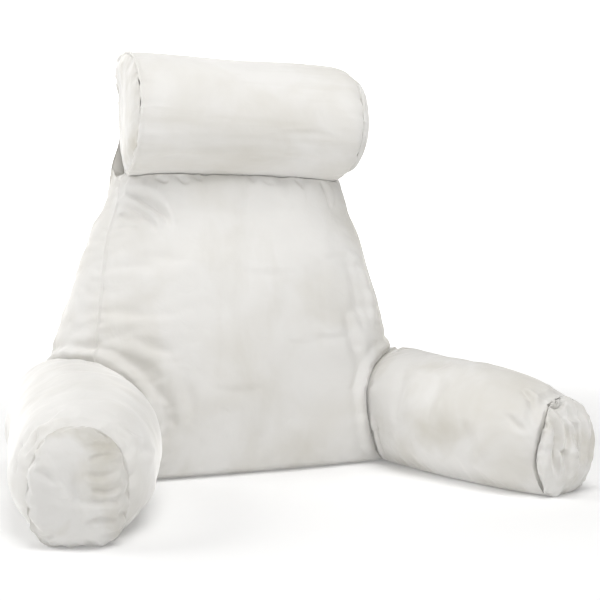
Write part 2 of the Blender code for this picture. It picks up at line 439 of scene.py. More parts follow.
RUFFLE = {-1: 0.0022, 1: 0.0042}
ARM_FOLDS = {  # knots (angle round the arm, 0 at its outer side and 90 on top; place along it), width, depth
    -1: (
        (((52, -0.332), (38, -0.346), (24, -0.343)), 0.004, 0.005),
        (((30, -0.318), (18, -0.33), (8, -0.338)), 0.0042, 0.0046),
        (((75, -0.322), (60, -0.33), (48, -0.326)), 0.006, 0.003),
        (((150, -0.318), (138, -0.332), (126, -0.336)), 0.005, 0.0034),
        (((168, -0.3), (160, -0.325), (158, -0.345)), 0.0055, 0.0034),
        (((120, -0.15), (100, -0.165), (80, -0.16)), 0.012, 0.0026),
    ),
    1: (
        (((112, -0.322), (122, -0.34), (134, -0.346)), 0.0042, 0.006),
        (((150, -0.325), (158, -0.338), (162, -0.348)), 0.005, 0.004),
        (((125, -0.215), (150, -0.222), (175, -0.218)), 0.012, 0.0034),
        (((130, -0.15), (155, -0.16), (178, -0.158)), 0.014, 0.0032),
        (((165, -0.27), (180, -0.285), (195, -0.29)), 0.009, 0.0028),
        (((95, -0.18), (110, -0.195), (122, -0.19)), 0.011, 0.0024),
    ),
}


def ruffled(p, around, distance, side):
    """The end seam wanders along the arm, and both cloths beside it go with it."""
    _, dx, dy = arm_axis(np.array([ARM_END_Y]))
    waves = noise_at(np.stack([np.cos(around), np.sin(around), 0 * around], 1), 0.55, 17 + side)
    shift = RUFFLE[side] * waves * np.exp(-((distance / 0.014) ** 2)) * smoothstep(0.0, 0.02, p[:, 2])
    return p + np.stack([side * dx[0] * shift, dy[0] * shift, 0 * shift], 1)


def dress_arm(obj, side):
    """Seam, gathers and slow unevenness of an arm's cover."""
    p, n, cut = points_of(obj), normals_of(obj), cut_of(obj)
    around = np.arctan2(cut[:, 1], cut[:, 0])
    to_seam = np.clip(END_SEAM_S - cut[:, 2], 0, 1) * (ARM_ROOT_Y - ARM_END_Y) / (1 - 2 * ARM_CAP)
    free = smoothstep(0.0, 0.012, p[:, 2]) * (cut[:, 2] < END_SEAM_S + 0.002)
    out = seam_profile(to_seam, draw=0.0065, draw_width=0.018, lip=0.0016, lip_width=0.0035)
    run = around * ARM_RADIUS
    gathered = np.clip(0.55 + 1.3 * noise_along(run, 0.05, 7 + side), 0, 1.4)
    out += gathered * puckers(run, to_seam, 0.021, 0.0036, 0.030, 3 + side)
    out += 0.0022 * noise_at(p, 0.075, 11 + side) + 0.0009 * noise_at(p, 0.03, 13 + side)
    for knots, width, depth in ARM_FOLDS[side]:
        turns, places = np.radians([k[0] for k in knots]), np.array([k[1] for k in knots])
        out += fold(p, n, arm_points(turns, places, side), width, depth)
    move_to(obj, ruffled(p + n * (out * free)[:, None], around, to_seam, side))


# ---- end panels

PANEL_BACK = 0.25  # the share of a panel's radius parameter that is its hidden back
PANEL_DISH = 0.0085  # how far that back is sunk in its middle


def make_end_panel(name, place, bulge, segments, rings, slack, cap, wrinkle, pressure=3.0):
    """A round panel: place(a, shrink, out) gives its points, and wrinkle(p, around, shrink) its gathers."""
    back = np.linspace(0, PANEL_BACK, 5)
    front = PANEL_BACK + (1 - PANEL_BACK) * np.arange(1, rings + 1) / rings
    lengths = np.concatenate([back, front])

    def turn(s):
        return np.clip((s - PANEL_BACK) / (1 - PANEL_BACK), 0, 1) * math.pi / 2

    def shape(a, s):
        shrink = np.where(s < PANEL_BACK, s / PANEL_BACK, np.cos(turn(s)) ** 0.8)
        dished = np.where(s < PANEL_BACK, -PANEL_DISH * (1 - shrink**4), 0.0)
        return place(a, shrink, bulge * np.sin(turn(s)) + dished)

    obj = tube_grid(name, lengths, segments, shape)
    outwards(obj)
    p, n, cut = points_of(obj), normals_of(obj), cut_of(obj)
    around = np.arctan2(cut[:, 1], cut[:, 0])
    shrink = np.cos(turn(cut[:, 2])) ** 0.8
    front_side = smoothstep(PANEL_BACK, PANEL_BACK + 0.08, cut[:, 2])
    move_to(obj, p + n * (wrinkle(p, around, shrink) * front_side)[:, None])
    held = (cut[:, 2] <= PANEL_BACK + 0.012).astype(float)
    inflate(obj, held, slack=slack, pressure=pressure, cap=cap, stiffness=9.0, bending=0.06)
    subdivide(obj)
    return obj


PANEL_GATHERS = {-1: (0.35, 0.0034), 1: (0.85, 0.0085)}  # how upright an arm's end gathers are, and how high
PANEL_SLACK = {-1: 0.085, 1: 0.045}
PANEL_BULGE = {-1: 0.025, 1: 0.016}
PANEL_HALF_WIDTH, PANEL_MIDDLE, PANEL_HALF_HEIGHT = 0.055, 0.062, 0.07
FOLD_STRENGTH = {-1: 1.0, 1: 1.4}


def make_arm_end(name, side):
    def place(a, shrink, out):
        y = np.full(len(a), ARM_END_Y)
        return arm_points(a, y, side, forward=GAP + out, shrink=shrink)

    def wrinkle(p, around, shrink):
        upright = noise_at(p, (0.015, 0.05, 0.075), 21 + side)
        level = noise_at(p, (0.05, 0.05, 0.012), 25 + side)
        share, height = PANEL_GATHERS[side]
        return height * (share * upright + (1 - share) * level) * (0.35 + 0.65 * np.sqrt(1 - shrink))

    slack = PANEL_SLACK[side]
    return make_end_panel(name, place, PANEL_BULGE[side], 112, 34, slack=slack, cap=0.009, wrinkle=wrinkle)


ARM_END_FOLDS = {  # knots (how far towards the outer side, height), width, depth
    -1: (
        (((-0.044, 0.092), (-0.028, 0.094), (-0.012, 0.089)), 0.004, 0.0032),
        (((-0.045, 0.078), (-0.026, 0.074), (-0.01, 0.077)), 0.0042, 0.0038),
        (((-0.046, 0.062), (-0.03, 0.06), (-0.016, 0.063)), 0.004, 0.004),
        (((-0.045, 0.046), (-0.028, 0.05), (-0.006, 0.047)), 0.0045, 0.0034),
        (((-0.04, 0.03), (-0.024, 0.033), (-0.008, 0.03)), 0.0042, 0.0034),
        (((0.0, 0.088), (0.006, 0.07), (0.002, 0.052)), 0.007, 0.0024),
        (((0.04, 0.08), (0.028, 0.076), (0.02, 0.068)), 0.0045, 0.0022),
    ),
    1: (
        (((-0.037, 0.108), (-0.033, 0.08), (-0.036, 0.05), (-0.03, 0.026)), 0.005, 0.0075),
        (((-0.022, 0.1), (-0.019, 0.075), (-0.023, 0.052), (-0.017, 0.02)), 0.0046, 0.007),
        (((-0.007, 0.112), (-0.004, 0.084), (-0.008, 0.058), (-0.002, 0.024)), 0.005, 0.0064),
        (((0.011, 0.104), (0.014, 0.07), (0.01, 0.036)), 0.0056, 0.005),
        (((0.028, 0.092), (0.03, 0.062), (0.026, 0.034)), 0.006, 0.0044),
        (((-0.034, 0.118), (-0.02, 0.114), (-0.008, 0.12)), 0.005, 0.0056),
        (((-0.03, 0.062), (-0.026, 0.057), (-0.021, 0.06)), 0.004, 0.004),
    ),
}


def fold_arm_end(obj, side):
    p, n = points_of(obj), normals_of(obj)
    x0, dx, dy = (v[0] for v in arm_axis(np.array([ARM_END_Y])))
    out = np.zeros(len(p))
    for knots, width, depth in ARM_END_FOLDS[side]:
        path = []
        for across, z in knots:
            share = 1 - (across / PANEL_HALF_WIDTH) ** 2 - ((z - PANEL_MIDDLE) / PANEL_HALF_HEIGHT) ** 2
            dome = (PANEL_BULGE[side] + 0.003) * math.sqrt(max(0.0, share))
            x, y = x0 + dx * dome - dy * across, ARM_END_Y + dy * dome + dx * across + SHIFT_Y
            path.append((side * x, y, z))
        out += fold(p, n, path, width, depth * FOLD_STRENGTH[side], reach=0.02)
    facing = smoothstep(0.1, 0.5, n[:, 1] * dy + n[:, 0] * dx * side)
    facing *= smoothstep(PANEL_BACK, PANEL_BACK + 0.05, cut_of(obj)[:, 2])
    move_to(obj, p + n * (out * facing)[:, None])


def dress_end_panel(obj, radius, depth, seed, side=0):
    p, n, cut = points_of(obj), normals_of(obj), cut_of(obj)
    around = np.arctan2(cut[:, 1], cut[:, 0])
    distance = np.clip(cut[:, 2] - PANEL_BACK, 0, 1) / (1 - PANEL_BACK) * radius * 1.2
    out = seam_profile(distance, draw=0.0012, lip=0.0008, lip_width=0.004)
    out += puckers(around * radius, distance, 0.015, depth, 0.022, seed)
    out = np.where(distance < 0.004, np.maximum(out, 0.0), out)
    out *= smoothstep(PANEL_BACK, PANEL_BACK + 0.03, cut[:, 2])
    p = p + n * out[:, None]
    if side:
        p = ruffled(p, around, distance, side)
    p[:, 2] = np.maximum(p[:, 2], 0.0)
    move_to(obj, p)


# ---- the neck roll

ROLL_CAP = 0.12
ROLL_END_BULGE = {-1: 0.005, 1: 0.025}
ROLL_ROUNDING = {-1: (0.003, 0.012), 1: (0.011, 0.032)}  # the radius's fall at an end, and over what length


def roll_radius(x):
    """The roll's right end is packed round, its left end is square."""
    radius = np.full(len(x), ROLL_RADIUS - 0.001)
    for side, (fall, length) in ROLL_ROUNDING.items():
        near = np.clip(1 - (ROLL_HALF_LENGTH - side * x) / length, 0, 1)
        radius -= fall * (1 - np.sqrt(1 - np.minimum(near, 0.999) ** 2))
    return radius


def roll_points(a, x, radius):
    return np.stack([x + 0 * a, ROLL_Y + radius * np.cos(a), ROLL_Z + radius * np.sin(a)], 1)


def make_roll(name):
    cap = np.linspace(0, ROLL_CAP, 7)
    barrel = lerp(ROLL_CAP, 1 - ROLL_CAP, closer_at_ends(np.arange(1, 96) / 96, 0.5))
    lengths = np.concatenate([cap, barrel, 1 - cap[::-1]])

    def shape(a, s):
        share = np.clip((s - ROLL_CAP) / (1 - 2 * ROLL_CAP), 0, 1) * 2 - 1
        shrink = np.minimum(np.clip(s / ROLL_CAP, 0, 1), np.clip((1 - s) / ROLL_CAP, 0, 1))
        x = ROLL_HALF_LENGTH * share
        dished = CAP_DISH * (1 - shrink**4) * (np.abs(share) > 0.999)
        return roll_points(a, x - np.sign(x) * dished, roll_radius(x) * shrink)

    obj = tube_grid(name, lengths, 128, shape)
    outwards(obj)
    s = cut_of(obj)[:, 2]
    held = ((s <= ROLL_CAP + 1e-4) | (s >= 1 - ROLL_CAP - 1e-4)).astype(float)
    inflate(obj, held, slack=0.012, pressure=4, cap=0.004)
    subdivide(obj)
    return obj


def dress_roll(obj):
    p, n, cut = points_of(obj), normals_of(obj), cut_of(obj)
    around = np.arctan2(cut[:, 1], cut[:, 0])
    inside = (cut[:, 2] > ROLL_CAP - 0.002) & (cut[:, 2] < 1 - ROLL_CAP + 0.002)
    distance = np.maximum(ROLL_HALF_LENGTH - np.abs(p[:, 0]), 0)
    left = p[:, 0] < 0
    flat_seam = -0.0012 * np.exp(-distance / 0.006)
    out = np.where(left, seam_profile(distance, draw=0.002, lip=0.0034, lip_width=0.004), flat_seam)
    out += puckers(around * ROLL_RADIUS, distance, 0.020, 0.0018, 0.026, 31)
    out += 0.0014 * noise_at(p, (0.11, 0.06, 0.06), 33)
    out += 0.0006 * noise_at(p, (0.09, 0.012, 0.008), 34) * smoothstep(0.01, -0.05, p[:, 2] - ROLL_Z)
    for knots, width, depth in ROLL_FOLDS:
        path = [(x, ROLL_Y + ROLL_RADIUS * math.cos(t), ROLL_Z + ROLL_RADIUS * math.sin(t)) for x, t in knots]
        out += fold(p, n, path, width, depth)
    move_to(obj, p + n * (out * inside)[:, None])


def slump_left_end(obj, sunk):
    """The roll's left end is soft: its rear rim sinks in below a peak at the top, its middle is hollow."""
    p = points_of(obj)
    y, z = (p[:, 1] - ROLL_Y) / ROLL_RADIUS, (p[:, 2] - ROLL_Z) / ROLL_RADIUS
    near = smoothstep(0.115, 0.165, -p[:, 0])
    rear = smoothstep(-0.35, 0.75, y)
    low = 1 - smoothstep(0.35, 0.95, z)
    hollow = np.maximum(np.exp(-1.6 * (y * y + z * z)) - 0.25, 0) / 0.75
    p[:, 0] += near * (0.0115 * rear * low + sunk * hollow - 0.004 * rear * (1 - low))
    move_to(obj, p)


FRONT = -math.pi  # the angle of the roll's foremost line
ROLL_FOLDS = (  # knots (x, angle about the roll's axis), width, depth
    (((-0.12, FRONT + 0.55), (-0.05, FRONT + 0.6), (0.03, FRONT + 0.57)), 0.004, 0.001),
    (((-0.02, FRONT + 0.8), (0.06, FRONT + 0.76), (0.13, FRONT + 0.82)), 0.0038, 0.0011),
    (((0.02, FRONT + 0.35), (0.08, FRONT + 0.3), (0.12, FRONT + 0.36)), 0.0045, 0.001),
    (((-0.15, FRONT + 0.95), (-0.1, FRONT + 0.8), (-0.06, FRONT + 0.83)), 0.0045, 0.0014),
)


def make_roll_end(name, side):
    def place(a, shrink, out):
        rim = roll_radius(np.array([side * ROLL_HALF_LENGTH]))[0]
        return roll_points(a, side * (ROLL_HALF_LENGTH + GAP + out), rim * shrink)

    def wrinkle(p, around, shrink):
        return 0.0012 * noise_at(p, 0.03, 41 + side)

    bulge = ROLL_END_BULGE[side]
    return make_end_panel(name, place, bulge, 112, 26, slack=0.03, cap=0.005, wrinkle=wrinkle)


# ---- the band behind the roll

BAND_FOOT_HALF_WIDTH, BAND_HALF_WIDTH, BAND_THICKNESS = 0.164, 0.148, 0.0022
BAND_TOP_ANGLE = math.radians(62)
BAND_RADIUS = ROLL_RADIUS + 0.0036
BAND_TAIL, BAND_CLEARANCE = 0.009, 0.001  # what is sewn down behind the top seam, and its gap to the back


def surface_radius(tree, x, angle):
    """How far the roll's real surface lies from its axis, at each place along it and angle round it."""
    found = []
    for place, turn in zip(x, angle):
        out = Vector((0.0, math.cos(turn), math.sin(turn)))
        hit, _, _, _ = tree.ray_cast(Vector((place, ROLL_Y, ROLL_Z)) + out * 0.15, -out, 0.1)
        found.append(ROLL_RADIUS if hit is None else math.hypot(hit.y - ROLL_Y, hit.z - ROLL_Z))
    return np.array(found)


def make_band(name, roll, back):
    """A thin closed sheet, slightly slack, from behind the back's top seam up round the rear of the roll."""
    top = table_at(BACK_SECTIONS, BACK_COLUMNS, np.array([BACK_REAR_HEIGHT]))
    foot_y, foot_z = top["rear_y"][0] + SHIFT_Y - 0.003, BACK_REAR_HEIGHT + 0.0036
    away = math.hypot(foot_y - ROLL_Y, foot_z - ROLL_Z)
    start = math.atan2(foot_z - ROLL_Z, foot_y - ROLL_Y) + math.acos(BAND_RADIUS / away)
    free = math.sqrt(away**2 - BAND_RADIUS**2)
    wound = BAND_RADIUS * (BAND_TOP_ANGLE - start)
    length = free + wound
    rows, columns, tail_rows = 60, 90, 8
    tail = -np.linspace(BAND_TAIL, 0, tail_rows, endpoint=False)
    runs = np.concatenate([tail, np.linspace(0, length, rows + 1)])
    w, run = (grid.ravel() for grid in np.meshgrid(np.linspace(-1, 1, columns + 1), runs))
    rows += tail_rows
    g = np.clip(run / length, 0, 1)
    angle = start + np.maximum(run - free, 0) / BAND_RADIUS
    leave = (ROLL_Y + BAND_RADIUS * math.cos(start), ROLL_Z + BAND_RADIUS * math.sin(start))
    share = np.clip(run / free, 0, 1)
    y = np.where(run < free, lerp(foot_y, leave[0], share), ROLL_Y + BAND_RADIUS * np.cos(angle))
    z = np.where(run < free, lerp(foot_z, leave[1], share), ROLL_Z + BAND_RADIUS * np.sin(angle))
    z = z + np.minimum(run, 0)
    half = lerp(BAND_FOOT_HALF_WIDTH, BAND_HALF_WIDTH, smoothstep(0.0, 0.35, g))
    x = w * half
    inner = np.stack([x, y, z], 1)
    out = np.stack([0 * x, np.where(run < free, math.cos(start), np.cos(angle)),
                    np.where(run < free, math.sin(start), np.sin(angle))], 1)
    wound_on = smoothstep(free * 0.85, free * 1.25, run)
    snug = surface_radius(tree_of(roll), np.clip(x, -0.158, 0.158), angle) + 0.0008 - BAND_RADIUS
    slackness = 0.0022 * noise_at(inner, (0.03, 0.08, 0.08), 51) * (1 - g)
    inner = inner + out * lerp(slackness, snug, wound_on)[:, None]
    tree = tree_of(back)
    sewn = 1 - smoothstep(0.0, 0.30, g)
    for i in np.nonzero(sewn > 0)[0]:
        hit, _, _, _ = tree.ray_cast(Vector((inner[i, 0], 0.4, inner[i, 2])), Vector((0.0, -1.0, 0.0)), 0.5)
        behind = foot_y if hit is None else hit.y
        inner[i, 1] = max(inner[i, 1], behind + BAND_CLEARANCE)
    outer = inner + out * BAND_THICKNESS
    points = np.vstack([inner, outer])
    count = len(inner)
    faces = []
    for r in range(rows):
        for c in range(columns):
            k = r * (columns + 1) + c
            quad = (k, k + 1, k + columns + 2, k + columns + 1)
            faces.append(quad)
            faces.append(tuple(count + i for i in quad[::-1]))

    def edge_face(k, step, turned):
        quad = (k, k + step, count + k + step, count + k)
        faces.append(quad[::-1] if turned else quad)

    for c in range(columns):
        edge_face(c, 1, False)
        edge_face(rows * (columns + 1) + c, 1, True)
    for r in range(rows):
        edge_face(r * (columns + 1), columns + 1, True)
        edge_face(r * (columns + 1) + columns, columns + 1, False)
    obj = make_mesh(name, points, faces, np.zeros_like(points))
    return obj, length + BAND_TAIL


# ---- the back cushion


def bump(t, power):
    return 1 - np.abs(2 * t - 1) ** power


def back_shape(u, t, v):
    height = v * lerp(BACK_FRONT_HEIGHT, BACK_REAR_HEIGHT, t)
    size = table_at(BACK_SECTIONS, BACK_COLUMNS, height)
    half_width = lerp(size["front_half_width"], size["rear_half_width"], t)
    y = lerp(size["front_y"], size["rear_y"], t)
    middle = lerp(size["front_y"], size["rear_y"], 0.5)
    upright = bump(0.5 + 0.5 * np.abs(2 * v - 1) ** 1.15 * np.sign(v - 0.5), 2.6)
    stuffed = np.where(v > 0.5, 1 - np.clip(2 * v - 1, 0, 1) ** 9, upright)
    across = 1 - np.abs(u) ** 2.4
    belly = np.maximum(lerp(upright, stuffed, 0.95), FOOT_CROWN_SHARE * (1 - v) ** 3)
    y = y - FRONT_CROWN * across * belly * (1 - t) ** 2 + REAR_CROWN * across * upright * t**2
    x = u * half_width + np.sign(u) * SIDE_CROWN * np.abs(u) ** 8 * bump(t, 2) * upright
    z = height + TOP_CROWN * (1 - u**4) * bump(t, 2) * v**8
    turned_in = FOOT_RADIUS * (1 - np.sqrt(np.clip(1 - np.clip(1 - z / FOOT_RADIUS, 0, 1) ** 2, 0, 1)))
    y = y + np.sign(middle - y) * turned_in * np.minimum(1, np.abs(y - middle) / 0.08)
    x = x - np.sign(x) * turned_in * np.abs(u) ** 3
    return np.stack([x, y + SHIFT_Y, z], 1)


def make_back(name):
    obj = box_grid(name, 96, 18, 84, back_shape)
    outwards(obj)
    u, t, v = cut_of(obj).T
    on_edges = (np.abs(u) > 1 - 1e-5).astype(int)
    on_edges += (np.abs(t - 0.5) > 0.5 - 1e-5).astype(int) + (np.abs(v - 0.5) > 0.5 - 1e-5)
    held = np.maximum(on_edges >= 2, (v < 1e-5) | (v > 1 - 1e-5)).astype(float)
    middle = np.exp(-((u / 0.62) ** 4) - ((v - 0.62) / 0.30) ** 4) * (t < 0.5)
    loose = (0.3 + 0.7 * smoothstep(0.08, 0.45, v)) * (1 - 0.62 * middle)
    inflate(obj, held, slack=0.024, pressure=4, cap=0.013, loose=loose)
    subdivide(obj)
    return obj


BACK_FOLDS = (  # on the front panel: knots (x, z), width, depth
    (((-0.172, 0.384), (-0.14, 0.366), (-0.116, 0.348), (-0.104, 0.326)), 0.006, 0.0095),
    (((-0.176, 0.368), (-0.152, 0.353), (-0.132, 0.338), (-0.122, 0.322)), 0.005, 0.0075),
    (((-0.184, 0.35), (-0.16, 0.343), (-0.136, 0.34)), 0.005, 0.005),
    (((-0.184, 0.334), (-0.165, 0.333), (-0.148, 0.326)), 0.005, 0.0035),
    (((-0.128, 0.392), (-0.116, 0.384), (-0.108, 0.38)), 0.0036, 0.0042),
    (((-0.1, 0.393), (-0.088, 0.381), (-0.08, 0.375)), 0.0036, 0.0042),
    (((-0.074, 0.393), (-0.066, 0.384), (-0.062, 0.38)), 0.0032, 0.003),
    (((0.002, 0.392), (0.01, 0.38), (0.012, 0.372)), 0.004, 0.003),
    (((0.024, 0.38), (0.032, 0.374), (0.042, 0.372)), 0.004, 0.0026),
    (((0.075, 0.392), (0.084, 0.38), (0.086, 0.37)), 0.004, 0.0036),
    (((0.118, 0.39), (0.128, 0.376), (0.132, 0.358)), 0.0046, 0.004),
    (((-0.02, 0.262), (0.02, 0.259), (0.06, 0.262)), 0.0055, 0.0012),
    (((0.06, 0.175), (0.1, 0.172), (0.135, 0.178)), 0.0055, 0.0026),
    (((0.03, 0.168), (0.06, 0.166), (0.085, 0.17)), 0.004, 0.0012),
    (((-0.075, 0.118), (-0.04, 0.112), (0.0, 0.114)), 0.005, 0.0014),
    (((0.15, 0.3), (0.158, 0.26), (0.163, 0.215), (0.16, 0.18)), 0.013, 0.0052),
    (((0.172, 0.285), (0.181, 0.24), (0.183, 0.19)), 0.0095, 0.0042),
    (((0.13, 0.21), (0.14, 0.17), (0.15, 0.12)), 0.011, 0.0048),
    (((-0.19, 0.165), (-0.16, 0.15), (-0.135, 0.125), (-0.118, 0.09)), 0.01, 0.006),
    (((-0.17, 0.185), (-0.14, 0.172), (-0.115, 0.16)), 0.008, 0.003),
    (((-0.15, 0.13), (-0.13, 0.105), (-0.12, 0.07)), 0.007, 0.0046),
    (((-0.105, 0.135), (-0.098, 0.105), (-0.1, 0.075)), 0.0075, 0.003),
)


def dress_back(obj, roll, arms):
    p, n, cut = points_of(obj), normals_of(obj), cut_of(obj)
    u, t, v = cut.T
    size = table_at(BACK_SECTIONS, BACK_COLUMNS, p[:, 2])
    across_m = (1 - np.abs(u)) * lerp(size["front_half_width"], size["rear_half_width"], t)
    deep_m = np.minimum(t, 1 - t) * np.maximum(size["rear_y"] - size["front_y"], 0.03)
    high_m = (1 - v) * BACK_FRONT_HEIGHT
    on_side, on_face = np.abs(u) > 1 - 1e-4, (t < 1e-4) | (t > 1 - 1e-4)
    to_seam = np.where(on_side, deep_m, across_m)
    to_seam = np.where(on_side | on_face, to_seam, 0.05)
    free = smoothstep(0.002, 0.03, p[:, 2])
    seam = seam_profile(to_seam, draw=0.0035, lip=0.0030, lip_width=0.0022)
    gathers = puckers(p[:, 2], to_seam, 0.017, 0.0018, 0.022, 61) * smoothstep(0.0, 0.003, to_seam)
    top = np.where(v < 1 - 1e-4, seam_profile(high_m, draw=0.003), 0.0)
    out = (seam + gathers + 0.25 * top) * free
    out += 0.0024 * noise_at(p, 0.085, 63) * free + 0.0008 * noise_at(p, 0.03, 64) * free
    front = (n[:, 1] < 0.2) & (t < 0.02)
    for knots, width, depth in BACK_FOLDS:
        heights = np.array([k[1] for k in knots])
        row = table_at(BACK_SECTIONS, BACK_COLUMNS, heights)
        path = [(x, y + SHIFT_Y - 0.02, z) for (x, z), y in zip(knots, row["front_y"])]
        out += fold(p, n, path, width, depth, reach=0.05) * front
    under_roll = noise_at(np.stack([p[:, 0], 0.25 * p[:, 2], 0 * u], 1), 0.017, 65)
    out -= 0.0022 * np.abs(under_roll) * np.exp(-high_m / 0.016)
    p = p + n * out[:, None]
    rise = smoothstep(0.87, 0.985, v) * (1 - smoothstep(0.0, 0.45, t)) * (1 - np.abs(u) ** 8)
    p += np.outer(rise, (0.0, -0.019, 0.016))
    p = tuck_corners(p, u, v)
    p = make_way(p, roll, arms)
    for side, arm in arms.items():
        p = roll_lip(p, n, arm, side)
    p[:, 2] = np.maximum(p[:, 2], 0.0)
    move_to(obj, p)


def tuck_corners(p, u, v):
    """The top corners are drawn in by their stitching, which leaves small soft ears there."""
    p = p.copy()
    drawn = 0.003 * smoothstep(0.90, 1.0, v) + 0.005 * np.exp(-(((v - 0.90) / 0.06) ** 2))
    p[:, 0] -= np.sign(u) * np.abs(u) ** 6 * drawn
    for place, height, width, way in CORNER_EARS:
        away = np.linalg.norm(p - np.array(place), axis=1)
        p += np.outer(height * np.exp(-((away / width) ** 2)) * np.abs(u) ** 60, way)
    return p


CORNER_EARS = (  # place, height, width, way it stands up
    ((-0.167, 0.104, 0.398), 0.012, 0.011, (-0.4, -0.3, 0.86)),
    ((-0.168, 0.178, 0.402), 0.018, 0.014, (-0.12, 0.1, 0.98)),
    ((-0.168, 0.138, 0.4), 0.01, 0.012, (0.8, 0.0, -0.6)),
    ((0.166, 0.104, 0.398), 0.005, 0.012, (0.2, -0.4, 0.9)),
)


def roll_lip(p, n, arm, side):
    """Where an arm is sewn on, the back's cloth dips into the seam and stands up in a soft roll beside it."""
    near = np.nonzero((p[:, 2] < 0.20) & (p[:, 0] * side > 0.10))[0]
    found, _ = depth_in(tree_of(arm), p[near], 0.07)
    d = np.maximum(-found, 0)
    along = p[near, 1] * 0.8 + p[near, 2]
    uneven = 1 + 0.7 * noise_at(np.stack([along, d * 0.3, 0 * d], 1), 0.05, 95 + side)
    strength = {-1: 1.0, 1: 0.6}[side]
    out = -0.0050 * np.exp(-d / 0.004)
    out += strength * uneven * 0.0045 * np.exp(-(((d - 0.011) / 0.0055) ** 2))
    out -= strength * uneven * 0.0045 * np.exp(-(((d - 0.0225) / 0.006) ** 2))
    out += strength * 0.6 * puckers(along, d, 0.022, 0.0045, 0.040, 97 + side) * smoothstep(0.002, 0.01, d)
    out *= smoothstep(0.004, 0.03, p[near, 2]) * (found > -0.069)
    p = p.copy()
    p[near] += n[near] * out[:, None]
    return p


def make_way(p, roll, arms):
    """Presses the back's cover in where the roll and the arms lie against it."""
    p = p.copy()
    near_roll = np.nonzero(p[:, 2] > ROLL_Z - ROLL_RADIUS - 0.02)[0]
    tree = tree_of(roll)
    depth, nearest = depth_in(tree, p[near_roll], 0.03)
    for i, d, q in zip(near_roll, depth, nearest):
        if d > -GAP:
            away = Vector((0.0, q[1] - ROLL_Y, q[2] - ROLL_Z)).normalized()
            p[i] = q + np.array(away) * GAP * 2
    for side, arm in arms.items():
        tree = tree_of(arm)
        low = np.nonzero((p[:, 2] < 0.19) & (p[:, 0] * side > 0.12))[0]
        depth, nearest = depth_in(tree, p[low], 0.12)
        inwards = Vector((-side, 0.0, 0.0))
        for i, d, q in zip(low, depth, nearest):
            if d <= 0:
                continue
            hit, _, _, _ = tree.ray_cast(Vector(p[i]), inwards, 0.4)
            if hit is not None:
                p[i] = np.array(hit) + np.array(inwards) * GAP * 2
    return p


def keep_clear(obj, others, gap=0.0008):
    """Moves a cover's points that touch another piece, or enter it by under 5 mm, to just off that piece."""
    p = points_of(obj)
    for other in others:
        lo, hi = points_of(other).min(0) - 0.01, points_of(other).max(0) + 0.01
        near = np.nonzero(np.all((p > lo) & (p < hi), axis=1))[0]
        depth, nearest = depth_in(tree_of(other), p[near], 0.005)
        for i, d, at in zip(near, depth, nearest):
            away = (p[i] - at) * (-1 if d > 0 else 1)
            size = np.linalg.norm(away)
            if d > -gap and size > 1e-7:
                p[i] = at + away / size * gap
    p[:, 2] = np.maximum(p[:, 2], 0.0)
    move_to(obj, p)


def press_seam(obj, other, width, depth, seed, above=0.004):
    """Draws a cover in along the line where it is sewn to another, with gathers across it."""
    p, n = points_of(obj), normals_of(obj)
    lo, hi = points_of(other).min(0) - 0.05, points_of(other).max(0) + 0.05
    near = np.nonzero(np.all((p > lo) & (p < hi), axis=1) & (p[:, 2] > above))[0]
    found, _ = depth_in(tree_of(other), p[near], 0.045)
    distance = np.maximum(-found, 0)
    along = p[near, 1] * 0.8 + p[near, 2]
    out = -depth * np.exp(-distance / width) * (found > -0.044)
    gathers = puckers(along, distance, 0.020, depth * 0.55, width * 3.2, seed)
    out += gathers * smoothstep(0.001, 0.006, distance)
    second = np.clip(0.5 + 1.6 * noise_along(along, 0.07, seed + 3), 0, 1)
    out -= 0.0042 * second * np.exp(-(((distance - 0.0155) / 0.0032) ** 2))
    out += 0.0016 * second * np.exp(-(((distance - 0.0095) / 0.0040) ** 2))
    out *= smoothstep(above, above + 0.02, p[near, 2])
    p[near] += n[near] * out[:, None]
    move_to(obj, p)


# ---- velour

IVORY = (0.745, 0.736, 0.716)


def set_inputs(node, values):
    for name, value in values.items():
        node.inputs[name].default_value = value


